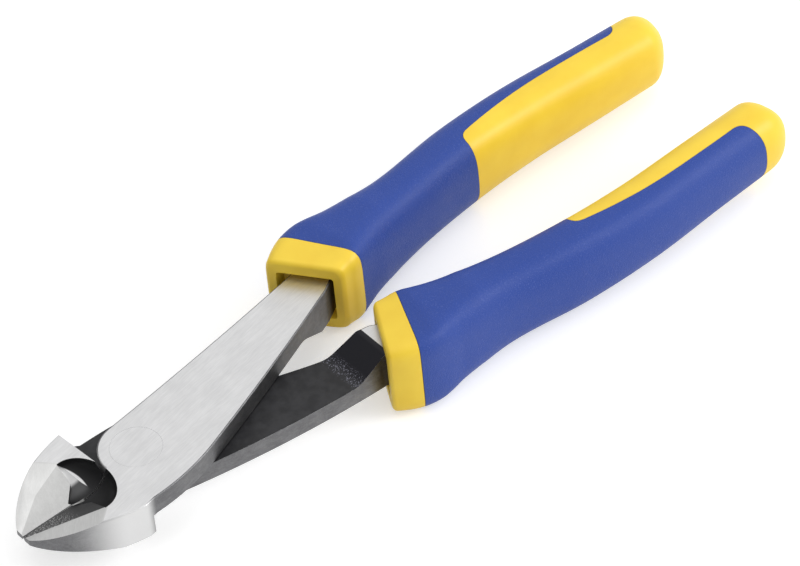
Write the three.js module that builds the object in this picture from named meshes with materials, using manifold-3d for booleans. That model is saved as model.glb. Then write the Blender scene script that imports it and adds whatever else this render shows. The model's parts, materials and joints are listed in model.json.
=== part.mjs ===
// Side cutters: two forged levers that lap at a flush rivet, with two-material grips on their tangs.
// Millimetres, +Z up. The tool is laid out about its pivot axis with the jaws closed: jaws along -X,
// handles along +X, the lap plane at z = 0. At the end it is set down on the flats of its grips.
import * as THREE from 'three';
import { mergeVertices } from 'three/addons/utils/BufferGeometryUtils.js';
import Module from 'manifold-3d';

const wasm = await Module();
wasm.setup();

// Gap between pieces that touch, and half of it on either side of a shared plane
const FIT_GAP = 0.3;
const HALF_GAP = FIT_GAP / 2;

// Head
const HEAD_THICKNESS = 10;
const HEAD_HALF_WIDTH = 14.8;
const JAW_LENGTH = 31.3;
const BOSS_RADIUS = 8.5;

// Outline of a jaw: half width at the nose, and how far its curve is pulled at both ends
const NOSE_HALF_WIDTH = 2.2;
const NOSE_PULL = new THREE.Vector2(3, 5.5);
const HEEL_PULL = new THREE.Vector2(11, 1.7);

// Ground faces of a jaw: height of the cutting edge, the rim's fold and the taper of the nose
const EDGE_HEIGHT = 0.45;
const EDGE_LAND = 0.4;
const RIM_FOLD_X = 19;
const RIM_FOLD_Y = 12.4;
const NOSE_TOP = 0.7;
const NOSE_BOTTOM = 0.5;
const BELLY_START = 14;
const FLUSH_BEVEL_WIDTH = 2.2;

// Forged pocket behind the cutting edges, hollowed from the boss forwards; its reach is half its length.
// Its middle lies a shift towards the upper lever's jaw. It stops a lip in front of its middle, apart from
// a notch that runs out to the ends of the cutting edges.
const POCKET_REACH = 6.4;
const POCKET_HALF_WIDTH = 8.6;
const POCKET_DEPTH = 5.3;
const POCKET_SHIFT = 0.6;
const POCKET_LIP = 0.6;
const NOTCH_HALF_WIDTH = 3.6;
const EDGE_LENGTH = 12;

// Rivet
const RIVET_RADIUS = 4.5;
const RIVET_HEAD_FLARE = 1.3;
const RIVET_HEAD_DEPTH = 1.3;

// Arms: where the shoulder starts behind the jaw, where the straight arm starts, and the riser to the tang
const SHOULDER_START = 6;
const ARM_ROOT_X = 14.5;
const ARM_ROOT_Y = 10.3;
const RISER_LENGTH = 7.6;
const RISER_SETBACK = 0.7;

// What differs between the two forgings: the heel's lean in degrees, the shoulder's half width,
// and how far the outer and inner edges of the arm bow away from the tool's middle
const UPPER_FORGING = { heelLean: -6.5, shoulder: 14.3, outerBow: -0.4, innerBow: -0.4 };
const LOWER_FORGING = { heelLean: 4, shoulder: 12.9, outerBow: 1.4, innerBow: 2.2 };

// Tang, from the front of the grip, where it lies a shift inwards off the grip's centre line
const TANG_WIDTH = 9.8;
const TANG_END_WIDTH = 5;
const TANG_LENGTH = 60;
const TANG_SHIFT = 0.9;

// Grip: its front, its length, and its sections, each so far behind the front. y is the centre line's
// distance from the tool's middle; squareness is the section's superellipse power.
const GRIP_FRONT = 57;
const GRIP_LENGTH = 111.2;
const COLLAR_FRONT = { at: 0, y: 12.75, halfWidth: 9, halfHeight: 9.8, squareness: 5.5 };
const COLLAR_BACK = { at: 7, y: 15.45, halfWidth: 10.2, halfHeight: 11, squareness: 4.5 };
const SWELL = { at: 15.5, y: 16.5, halfWidth: 8.6, halfHeight: 11.7, squareness: 3.5 };
const WAIST = { at: 28.5, y: 17.7, halfWidth: 7, halfHeight: 10.6, squareness: 3 };
const PALM_FRONT = { at: 50.5, y: 20.5, halfWidth: 6.7, halfHeight: 10.3, squareness: 3 };
const PALM = { at: 68.5, y: 21.15, halfWidth: 7, halfHeight: 9.8, squareness: 2.8 };
const TAIL = { at: 88.5, y: 20.25, halfWidth: 7, halfHeight: 9.4, squareness: 2.6 };
const DOME_ROOT = { at: 104.5, y: 19.6, halfWidth: 7.1, halfHeight: 9, squareness: 2.5 };
const GRIP_SECTIONS = [COLLAR_FRONT, COLLAR_BACK, SWELL, WAIST, PALM_FRONT, PALM, TAIL, DOME_ROOT];
const REST_HALF_HEIGHT = 11.2;
const DOME_LENGTH = 6.5;
const DOME_SLANT = 0.2;
const FRONT_CHAMFER = 1;

// Collar with its mouth around the tang, and the cover behind it. The collar's front leans back towards the
// tool's middle, so much for each millimetre sideways, and the lean fades along the grip.
const COLLAR_LENGTH = 7.6;
const COLLAR_SLANT = 0.17;
const SLANT_REACH = 40;
const MOUTH_SIDE_WALL = 2.5;
const MOUTH_TOP_WALL = 3.3;
const MOUTH_DEPTH = 4;
const MOUTH_CORNER = 0.8;
const COVER_THICKNESS = 2.2;

// Inner panel of the core that the cover leaves open, from the front of the grip. Its upper edge runs from
// one offset beside the centre line to another and bows outwards between them. The cover ends on a slant,
// before the cap at the grip's end.
const PANEL_START = 51.5;
const PANEL_CORNER = 2.4;
const PANEL_LINE_START = -1.2;
const PANEL_LINE_END = 1.2;
const PANEL_LINE_BOW = 1;
const END_CAP_LENGTH = 11.7;
const COVER_END_SLANT = THREE.MathUtils.degToRad(23);

// Fineness of the solids
const RING_SIDES = 20;
const BODY_RINGS = 16;
const RING_CROWDING = 1.3;
const DOME_RISES = [0.4, 0.7, 0.88, 0.95];
const CURVE_STEPS = 8;
const CORNER_STEPS = 3;
const SPHERE_SIDES = 20;
const RIVET_SIDES = 32;
const MERGE_DISTANCE = 1e-4;
const SLOPE_STEP = 0.5;

// Cutting tools run past the work: beyond the whole tool, or beside a grip
const BEYOND = 60;
const BESIDE = 20;

const HALF_THICKNESS = HEAD_THICKNESS / 2;
const HEEL_X = -(BOSS_RADIUS + FIT_GAP);
const POCKET_X = BOSS_RADIUS + POCKET_REACH;
const RIVET_HEAD_RADIUS = RIVET_RADIUS + RIVET_HEAD_FLARE;
const COVER_END = GRIP_LENGTH - END_CAP_LENGTH;

const STEEL = { color: 0xc4c6c8, roughness: 0.35, metalness: 1 };
const FORGED_STEEL = { color: 0xb4b6b9, roughness: 0.4, metalness: 1 };
const YELLOW = { color: 0xf4cd35, roughness: 0.45, metalness: 0 };
const BLUE = { color: 0x34489c, roughness: 0.7, metalness: 0 };

// Solids

/** A closed geometry as a solid for joining and cutting. */
function solid(geometry) {
  geometry.deleteAttribute('normal');
  geometry.deleteAttribute('uv');
  const merged = mergeVertices(geometry, MERGE_DISTANCE);
  const mesh = new wasm.Mesh({
    numProp: 3,
    vertProperties: new Float32Array(merged.attributes.position.array),
    triVerts: new Uint32Array(merged.index.array),
  });
  return new wasm.Manifold(mesh);
}

/** A shape in the XY plane, extruded from one height to another. */
function prism(shape, bottom, top) {
  const options = { depth: top - bottom, bevelEnabled: false, curveSegments: CURVE_STEPS };
  return solid(new THREE.ExtrudeGeometry(shape, options).translate(0, 0, bottom));
}

/** A polygon of [x, z] corners, extruded across the whole tool along Y. */
function crossPrism(corners) {
  const shape = new THREE.Shape(corners.map(([x, z]) => new THREE.Vector2(x, z)));
  const geometry = new THREE.ExtrudeGeometry(shape, { depth: 2 * BEYOND, bevelEnabled: false });
  return solid(geometry.rotateX(Math.PI / 2).translate(0, BEYOND, 0));
}

/** A polygon of [x, y] corners as a shape. */
function outline(corners) {
  return new THREE.Shape(corners.map(([x, y]) => new THREE.Vector2(x, y)));
}

/** A large block whose underside is the plane through three points, on the side that `towards` names. */
function blockOnPlane(a, b, c, towards) {
  const across = new THREE.Vector3().subVectors(b, a).normalize();
  const up = new THREE.Vector3().subVectors(c, a).cross(across).normalize();
  if (up.dot(towards) < 0) {
    up.negate();
  }
  const along = new THREE.Vector3().crossVectors(up, across);
  const turn = new THREE.Matrix4().makeBasis(across, along, up);
  const size = 2 * BEYOND;
  const block = new THREE.BoxGeometry(size, size, size).translate(0, 0, size / 2).applyMatrix4(turn);
  return solid(block.translate(a.x, a.y, a.z));
}

/** The solid turned half a turn about X, which carries the upper half of the tool to the lower. */
function turnedOver(piece) {
  return piece.rotate([180, 0, 0]);
}

/** A named mesh of a solid. */
function piece(name, body, finish) {
  const { vertProperties, triVerts } = body.getMesh();
  const geometry = new THREE.BufferGeometry();
  geometry.setAttribute('position', new THREE.BufferAttribute(vertProperties, 3));
  geometry.setIndex(new THREE.BufferAttribute(triVerts, 1));
  geometry.computeVertexNormals();
  const mesh = new THREE.Mesh(geometry, new THREE.MeshStandardMaterial({ ...finish, flatShading: true }));
  mesh.name = name;
  return mesh;
}

// Line and section of the grip

const sectionPlaces = GRIP_SECTIONS.map((section) => section.at);
const sectionSizes = GRIP_SECTIONS.flatMap((s) => [s.y, s.halfWidth, s.halfHeight, s.squareness]);
const gripSizes = new THREE.CubicInterpolant(sectionPlaces, sectionSizes, 4, new Float32Array(4));
const lastSection = sectionPlaces.at(-1);

/** Centre line and section of the upper grip at a distance from its front; straight past both ends. */
function gripAt(distance) {
  const held = THREE.MathUtils.clamp(distance, 0, lastSection);
  const before = Math.max(held - SLOPE_STEP, 0);
  const after = Math.min(held + SLOPE_STEP, lastSection);
  const slope = (gripSizes.evaluate(after)[0] - gripSizes.evaluate(before)[0]) / (after - before);
  const [y, halfWidth, halfHeight, squareness] = gripSizes.evaluate(held);
  const along = new THREE.Vector2(1, slope).normalize();
  const across = new THREE.Vector2(-along.y, along.x);
  const centre = new THREE.Vector2(GRIP_FRONT + distance, y + slope * (distance - held));
  return { centre, along, across, halfWidth, halfHeight, squareness };
}

/** Point in plan beside the grip's centre line. */
function besideGrip(distance, offset) {
  const { centre, across } = gripAt(distance);
  return across.clone().multiplyScalar(offset).add(centre);
}

/** How much further back the grip's section lies for each millimetre outwards, at a distance. */
function sectionSlant(distance) {
  return -COLLAR_SLANT * Math.max(0, 1 - distance / SLANT_REACH);
}

/** Places of the loft's rings: the front chamfer, the body, and the dome with its shrinking sections. */
function gripRings(inset) {
  const domeStart = GRIP_LENGTH - inset - DOME_LENGTH;
  const rings = [{ at: 0, inset: inset + FRONT_CHAMFER, shrink: 1, slant: sectionSlant(0) }];
  for (let i = 0; i <= BODY_RINGS; i += 1) {
    const at = THREE.MathUtils.lerp(FRONT_CHAMFER, domeStart, (i / BODY_RINGS) ** RING_CROWDING);
    rings.push({ at, inset, shrink: 1, slant: sectionSlant(at) });
  }
  for (const rise of DOME_RISES) {
    const at = domeStart + (rise / DOME_RISES.at(-1)) * DOME_LENGTH;
    rings.push({ at, inset, shrink: Math.sqrt(1 - rise * rise), slant: rise * DOME_SLANT });
  }
  return rings;
}

/** The upper grip's outer form, or the same form drawn in by an inset. */
function gripForm(inset) {
  const rings = gripRings(inset);
  const last = rings.length - 1;
  const geometry = new THREE.CylinderGeometry(1, 1, 1, RING_SIDES, last);
  const places = geometry.attributes.position;
  const rounded = (part, squareness) => Math.sign(part) * Math.abs(part) ** (2 / squareness);
  for (let i = 0; i < places.count; i += 1) {
    const ring = rings[Math.round((places.getY(i) + 0.5) * last)];
    const { halfWidth, halfHeight, squareness } = gripAt(ring.at);
    const sideways = rounded(places.getX(i), squareness) * (halfWidth - ring.inset) * ring.shrink;
    const upwards = -rounded(places.getZ(i), squareness) * (halfHeight - ring.inset) * ring.shrink;
    const spot = besideGrip(ring.at + ring.slant * sideways, sideways);
    places.setXYZ(i, spot.x, spot.y, upwards);
  }
  return solid(geometry);
}

/** The upper grip as it is seen, with the crown of its swell cut flat above and below. */
function gripOutside() {
  const slab = new THREE.BoxGeometry(2 * GRIP_LENGTH, 2 * BESIDE, 2 * REST_HALF_HEIGHT);
  const { centre } = gripAt(GRIP_LENGTH / 2);
  return gripForm(0).intersect(solid(slab.translate(centre.x, centre.y, 0)));
}

// Levers

/** Points along one edge of the tang, from the grip's front to its end; side 1 is the outer edge. */
function tangEdge(side, clearance) {
  const points = [];
  for (let i = 0; i <= CURVE_STEPS; i += 1) {
    const share = i / CURVE_STEPS;
    const halfWidth = THREE.MathUtils.lerp(TANG_WIDTH, TANG_END_WIDTH, Math.sqrt(share)) / 2 + clearance;
    const shift = TANG_SHIFT * (1 - share);
    points.push(besideGrip(share * (TANG_LENGTH + clearance), side * halfWidth - shift));
  }
  return points;
}

/** A curve from the shape's pen to a point, with its middle moved sideways. */
function bowTo(shape, end, bow) {
  const pen = shape.currentPoint;
  shape.quadraticCurveTo((pen.x + end.x) / 2, (pen.y + end.y) / 2 + 2 * bow, end.x, end.y);
}

/** Plan of a lever as it lies in the upper half: jaw below the X axis, boss, arm and tang above it. */
function leverPlan(forging) {
  const outer = tangEdge(1, 0);
  const inner = tangEdge(-1, 0).reverse();
  const armAngle = Math.atan2(outer[0].y - BOSS_RADIUS, outer[0].x);
  const shoulder = -forging.shoulder;
  const armSlope = (inner.at(-1).y + ARM_ROOT_Y) / (inner.at(-1).x - ARM_ROOT_X);
  const plan = new THREE.Shape();
  const jawAngle = Math.PI + Math.asin(HALF_GAP / BOSS_RADIUS);
  plan.moveTo(-JAW_LENGTH, -HALF_GAP);
  plan.lineTo(BOSS_RADIUS * Math.cos(jawAngle), -HALF_GAP);
  plan.absarc(0, 0, BOSS_RADIUS, jawAngle, Math.PI / 2 + armAngle, true);
  bowTo(plan, outer[0], forging.outerBow);
  outer.slice(1).forEach((point) => plan.lineTo(point.x, point.y));
  inner.forEach((point) => plan.lineTo(point.x, point.y));
  bowTo(plan, new THREE.Vector2(ARM_ROOT_X, -ARM_ROOT_Y), forging.innerBow);
  const bendX = ARM_ROOT_X + (shoulder + ARM_ROOT_Y) / armSlope;
  plan.quadraticCurveTo(bendX, shoulder, -SHOULDER_START, shoulder);
  plan.lineTo(HEEL_X, -HEAD_HALF_WIDTH);
  plan.bezierCurveTo(
    HEEL_X - HEEL_PULL.x, -HEAD_HALF_WIDTH + HEEL_PULL.y,
    -JAW_LENGTH + NOSE_PULL.x, -NOSE_HALF_WIDTH - NOSE_PULL.y,
    -JAW_LENGTH, -NOSE_HALF_WIDTH,
  );
  return plan;
}

/** What is cut from under a lever so that the other one laps it: from the heel to the riser. */
function lapCut(forging) {
  const below = -HEAD_THICKNESS;
  const riserTop = GRIP_FRONT - RISER_SETBACK;
  const arm = crossPrism([
    [0, HALF_GAP],
    [riserTop - RISER_LENGTH, HALF_GAP],
    [riserTop, -HALF_THICKNESS],
    [riserTop, below],
    [0, below],
  ]);
  const lean = THREE.MathUtils.degToRad(forging.heelLean);
  const heel = HEEL_X / Math.cos(lean);
  const boss = outline([
    [heel, BEYOND],
    [heel, 0],
    [heel - BEYOND * Math.tan(lean), -BEYOND],
    [BOSS_RADIUS, -BEYOND],
    [BOSS_RADIUS, BEYOND],
  ]);
  return arm.add(prism(boss, below, HALF_GAP));
}

/** Countersunk rivet, or the hole for it when it is grown by a clearance. */
function rivetForm(clearance) {
  const end = HALF_THICKNESS + clearance;
  const neck = HALF_THICKNESS - RIVET_HEAD_DEPTH;
  const profile = [
    [0, -end],
    [RIVET_HEAD_RADIUS + clearance, -end],
    [RIVET_HEAD_RADIUS + clearance, -HALF_THICKNESS],
    [RIVET_RADIUS + clearance, -neck],
    [RIVET_RADIUS + clearance, neck],
    [RIVET_HEAD_RADIUS + clearance, HALF_THICKNESS],
    [RIVET_HEAD_RADIUS + clearance, end],
    [0, end],
  ];
  const points = profile.map(([radius, height]) => new THREE.Vector2(radius, height));
  return solid(new THREE.LatheGeometry(points, RIVET_SIDES).rotateX(Math.PI / 2));
}

/** Everything that grinding takes off one jaw; side -1 is the upper lever's jaw, 1 the lower's. */
function jawGrinding(side) {
  const up = new THREE.Vector3(0, 0, 1);
  const down = new THREE.Vector3(0, 0, -1);
  const spot = (x, y, z) => new THREE.Vector3(-x, side * y, z);
  const tip = spot(JAW_LENGTH, 0, NOSE_TOP);
  const rimCorner = spot(POCKET_X, POCKET_HALF_WIDTH - side * POCKET_SHIFT, HALF_THICKNESS);
  const rim = blockOnPlane(rimCorner, spot(RIM_FOLD_X, RIM_FOLD_Y, HALF_THICKNESS), tip, up);
  const belly = blockOnPlane(
    spot(BELLY_START, 0, -HALF_THICKNESS),
    spot(BELLY_START, BEYOND, -HALF_THICKNESS),
    spot(JAW_LENGTH, 0, -NOSE_BOTTOM),
    down,
  );
  const edgeBack = spot(POCKET_X, 0, EDGE_HEIGHT);
  const edgeFront = spot(JAW_LENGTH, 0, EDGE_HEIGHT);
  const bevel = blockOnPlane(edgeBack, edgeFront, rimCorner, up);
  const flushBevel = blockOnPlane(
    spot(POCKET_X, HALF_GAP, EDGE_HEIGHT - EDGE_LAND),
    spot(JAW_LENGTH, HALF_GAP, EDGE_HEIGHT - EDGE_LAND),
    spot(POCKET_X, FLUSH_BEVEL_WIDTH, -HALF_THICKNESS),
    down,
  );
  const ahead = outline([
    [-BEYOND, -BEYOND],
    [-POCKET_X, -BEYOND],
    [-POCKET_X, BEYOND],
    [-BEYOND, BEYOND],
  ]);
  return rim.add(belly).add(bevel).add(flushBevel).intersect(prism(ahead, -BEYOND, BEYOND));
}

/** The forged hollow behind the cutting edges, shared by both jaws. */
function pocket() {
  const bowl = new THREE.SphereGeometry(1, SPHERE_SIDES, SPHERE_SIDES / 2);
  bowl.scale(POCKET_REACH, POCKET_HALF_WIDTH, POCKET_DEPTH);
  bowl.translate(-POCKET_X, -POCKET_SHIFT, HALF_THICKNESS);
  const front = -POCKET_X - POCKET_LIP;
  const behindEdges = outline([
    [0, -BEYOND],
    [0, BEYOND],
    [front, BEYOND],
    [front, NOTCH_HALF_WIDTH],
    [EDGE_LENGTH - JAW_LENGTH, 0],
    [front, -NOTCH_HALF_WIDTH],
    [front, -BEYOND],
  ]);
  return solid(bowl).intersect(prism(behindEdges, -BEYOND, BEYOND));
}

/** A lever as it lies in the upper half of the tool, before its jaw is ground. */
function leverBlank(forging) {
  return prism(leverPlan(forging), -HALF_THICKNESS, HALF_THICKNESS).subtract(lapCut(forging));
}

/** A finished lever; side -1 has its jaw on the right and its handle on the left. */
function lever(side) {
  const blank = side < 0 ? leverBlank(UPPER_FORGING) : turnedOver(leverBlank(LOWER_FORGING));
  return blank.subtract(jawGrinding(side)).subtract(pocket()).subtract(rivetForm(FIT_GAP));
}

// Grips

/** Plan of what the cover takes of the upper grip, grown by a gap where the core makes room for it. */
function coverPlan(grow) {
  const front = COLLAR_LENGTH - grow;
  const panel = PANEL_START + grow;
  const end = COVER_END + grow;
  const line = (distance) => {
    const share = (distance - PANEL_START) / (COVER_END - PANEL_START);
    const bow = 4 * PANEL_LINE_BOW * share * (1 - share);
    return THREE.MathUtils.lerp(PANEL_LINE_START, PANEL_LINE_END, share) + bow - grow;
  };
  const plan = new THREE.Shape();
  const penTo = (distance, offset) => {
    const point = besideGrip(distance, offset);
    plan.lineTo(point.x, point.y);
  };
  const roundTo = (cornerAt, cornerOffset, distance, offset) => {
    const corner = besideGrip(cornerAt, cornerOffset);
    const point = besideGrip(distance, offset);
    plan.quadraticCurveTo(corner.x, corner.y, point.x, point.y);
  };
  const lean = BESIDE * sectionSlant(front);
  const start = besideGrip(front - lean, -BESIDE);
  plan.moveTo(start.x, start.y);
  penTo(panel, -BESIDE);
  penTo(panel, line(panel) - PANEL_CORNER);
  roundTo(panel, line(panel), panel + PANEL_CORNER, line(panel + PANEL_CORNER));
  for (let i = 1; i <= CURVE_STEPS; i += 1) {
    const distance = THREE.MathUtils.lerp(panel + PANEL_CORNER, end - PANEL_CORNER, i / CURVE_STEPS);
    penTo(distance, line(distance));
  }
  const slant = Math.tan(COVER_END_SLANT);
  roundTo(end, line(end), end + PANEL_CORNER * slant, line(end) + PANEL_CORNER);
  penTo(end + BESIDE * slant, BESIDE);
  penTo(front + lean, BESIDE);
  return plan;
}

/** What the cover takes up, through the whole height of the grip. */
function coverRegion(grow) {
  return prism(coverPlan(grow), -BEYOND, BEYOND);
}

/** Slot in the core for the tang. */
function tangSlot() {
  const outer = tangEdge(1, FIT_GAP);
  const inner = tangEdge(-1, FIT_GAP).reverse();
  const reach = HALF_THICKNESS + FIT_GAP;
  return prism(new THREE.Shape([...outer, ...inner]), -reach, reach);
}

/** Recess in the collar's front, wider than the tang. */
function mouth() {
  const { centre, along, halfWidth, halfHeight } = gripAt(0);
  const wide = halfWidth - MOUTH_SIDE_WALL - MOUTH_CORNER;
  const high = halfHeight - MOUTH_TOP_WALL - MOUTH_CORNER;
  const rim = new THREE.Shape();
  const corners = [[wide, high], [-wide, high], [-wide, -high], [wide, -high]];
  corners.forEach(([x, y], i) => {
    rim.absarc(x, y, MOUTH_CORNER, (i * Math.PI) / 2, ((i + 1) * Math.PI) / 2, false);
  });
  const options = { depth: 2 * MOUTH_DEPTH, bevelEnabled: false, curveSegments: CORNER_STEPS };
  const recess = new THREE.ExtrudeGeometry(rim, options).translate(0, 0, -MOUTH_DEPTH);
  const inwards = new THREE.Vector3(along.x, along.y, 0);
  const side = new THREE.Vector3(along.y, -along.x, 0).addScaledVector(inwards, COLLAR_SLANT);
  const down = new THREE.Vector3(0, 0, -1);
  recess.applyMatrix4(new THREE.Matrix4().makeBasis(side, down, inwards));
  return solid(recess.translate(centre.x, centre.y, 0));
}

/** Core of the upper grip: collar, sleeve round the tang, inner panel and end. */
function gripCore() {
  const shown = gripOutside().subtract(coverRegion(FIT_GAP));
  const sleeve = gripForm(COVER_THICKNESS + FIT_GAP);
  return shown.add(sleeve).subtract(tangSlot()).subtract(mouth());
}

/** Cover of the upper grip, a shell round the core's sleeve. */
function gripCover() {
  return gripOutside().intersect(coverRegion(0)).subtract(gripForm(COVER_THICKNESS));
}

const core = gripCore();
const cover = gripCover();

const cutters = new THREE.Group();
cutters.name = 'side_cutters';
cutters.add(
  piece('upper_lever', lever(-1), STEEL),
  piece('lower_lever', lever(1), FORGED_STEEL),
  piece('pivot_rivet', rivetForm(0), STEEL),
  piece('upper_grip_core', core, YELLOW),
  piece('upper_grip_cover', cover, BLUE),
  piece('lower_grip_core', turnedOver(core), YELLOW),
  piece('lower_grip_cover', turnedOver(cover), BLUE),
);

// The origin is under the middle of the tool, on the plane that it rests on
const bounds = new THREE.Box3().setFromObject(cutters);
const middle = bounds.getCenter(new THREE.Vector3());
cutters.position.set(-middle.x, -middle.y, -bounds.min.z);

export default cutters;
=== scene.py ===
"""Side cutters: two lapped forgings on a flush rivet, with two-material grips on their tangs.

Sizes are millimetres about the pivot with the jaws closed: jaws along -X, handles along +X and the lap
plane at z = 0. A finished mesh is set at the pivot's own place in the frame, in metres.
"""
import json
import logging
import math
from dataclasses import dataclass, field
from enum import Enum
from typing import Any, Dict, List, Optional, Sequence, Tuple, Union

import bmesh
import bpy
from mathutils import Matrix, Vector


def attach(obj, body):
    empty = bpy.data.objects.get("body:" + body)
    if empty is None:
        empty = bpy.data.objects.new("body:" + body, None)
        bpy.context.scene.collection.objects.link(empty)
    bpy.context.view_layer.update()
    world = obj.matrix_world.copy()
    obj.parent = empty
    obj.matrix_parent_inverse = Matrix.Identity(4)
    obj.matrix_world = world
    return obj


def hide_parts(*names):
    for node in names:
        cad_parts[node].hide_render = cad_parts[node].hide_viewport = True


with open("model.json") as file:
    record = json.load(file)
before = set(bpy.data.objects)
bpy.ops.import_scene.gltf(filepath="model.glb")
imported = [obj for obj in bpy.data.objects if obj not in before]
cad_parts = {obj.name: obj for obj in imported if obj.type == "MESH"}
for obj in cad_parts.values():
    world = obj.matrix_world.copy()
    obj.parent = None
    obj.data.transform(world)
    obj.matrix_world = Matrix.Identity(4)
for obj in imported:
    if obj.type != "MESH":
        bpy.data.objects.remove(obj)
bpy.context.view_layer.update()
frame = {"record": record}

MILLIMETRE = 0.001
PIVOT = Vector(frame["record"]["behaviour"]["joints"][0]["pos_m"])
BEYOND = 80.0  # past the whole tool
BESIDE = 20.0  # past the side of a grip
THICKNESS = 10.0  # of the two lapped levers together
FLAT_ANGLE = 0.05  # faces that meet at less are one face, in degrees
MERGE_DISTANCE = 1e-4  # points that are closer are one point

Colour = Tuple[float, float, float]
log = logging.getLogger("side_cutters")


class Half(Enum):
    """The two halves of the tool, each named by its body in the frame."""

    UPPER = "upper_half"
    LOWER = "lower_half"

    @property
    def turn(self) -> Matrix:
        """Turn that carries a form of the upper half to this half."""
        return Matrix.Rotation(math.pi if self is Half.LOWER else 0.0, 4, "X")

    @property
    def jaw_side(self) -> int:
        """Sign of Y on this half's jaw."""
        return 1 if self is Half.LOWER else -1

    @property
    def word(self) -> str:
        """The half's name as it starts the names of its pieces."""
        return self.name.lower()


class Join(Enum):
    """How one form is combined with another."""

    CUT = "DIFFERENCE"
    KEEP = "INTERSECT"


class Skin(Enum):
    """Kinds of surface on a lever, in the order of its material slots."""

    FACE = 0
    WALL = 1
    GROUND = 2
    SCALE = 3
    POCKET = 4
    WORN = 5
    PAINTED_SHADE = 6
    RIM = 7


class Signal:
    """A value on its way through a shader; Python's operators on it add Math nodes."""

    def __init__(self, board: "Board", socket: bpy.types.NodeSocket) -> None:
        """Wrap a socket.

        Args:
            board: the node tree that the socket is in.
            socket: the output socket that gives the value.
        """
        self.board = board
        self.socket = socket

    def __add__(self, other: "Value") -> "Signal":
        """This value plus another."""
        return self.board.maths("ADD", self, other)

    def __sub__(self, other: "Value") -> "Signal":
        """This value less another."""
        return self.board.maths("SUBTRACT", self, other)

    def __rsub__(self, other: "Value") -> "Signal":
        """Another value less this one."""
        return self.board.maths("SUBTRACT", other, self)

    def __mul__(self, other: "Value") -> "Signal":
        """This value times another."""
        return self.board.maths("MULTIPLY", self, other)

    def __truediv__(self, other: "Value") -> "Signal":
        """This value divided by another."""
        return self.board.maths("DIVIDE", self, other)

    __radd__ = __add__
    __rmul__ = __mul__

    def size(self) -> "Signal":
        """The value without its sign."""
        return self.board.maths("ABSOLUTE", self, 0.0)

    def over(self, other: "Value") -> "Signal":
        """The larger of this value and another."""
        return self.board.maths("MAXIMUM", self, other)

    def ramp(self, low: float, high: float) -> "Signal":
        """A smooth step from 0 at one value to 1 at another.

        Args:
            low: where the step starts.
            high: where the step ends; below `low` it falls instead.

        Returns:
            The step's value, from 0 to 1.
        """
        reverse = high < low
        sockets = {"Value": self, "From Min": min(low, high), "From Max": max(low, high)}
        node = self.board.add("ShaderNodeMapRange", {"interpolation_type": "SMOOTHSTEP"}, sockets)
        step = Signal(self.board, node.outputs["Result"])
        return 1.0 - step if reverse else step


Value = Union[Signal, float]


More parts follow.
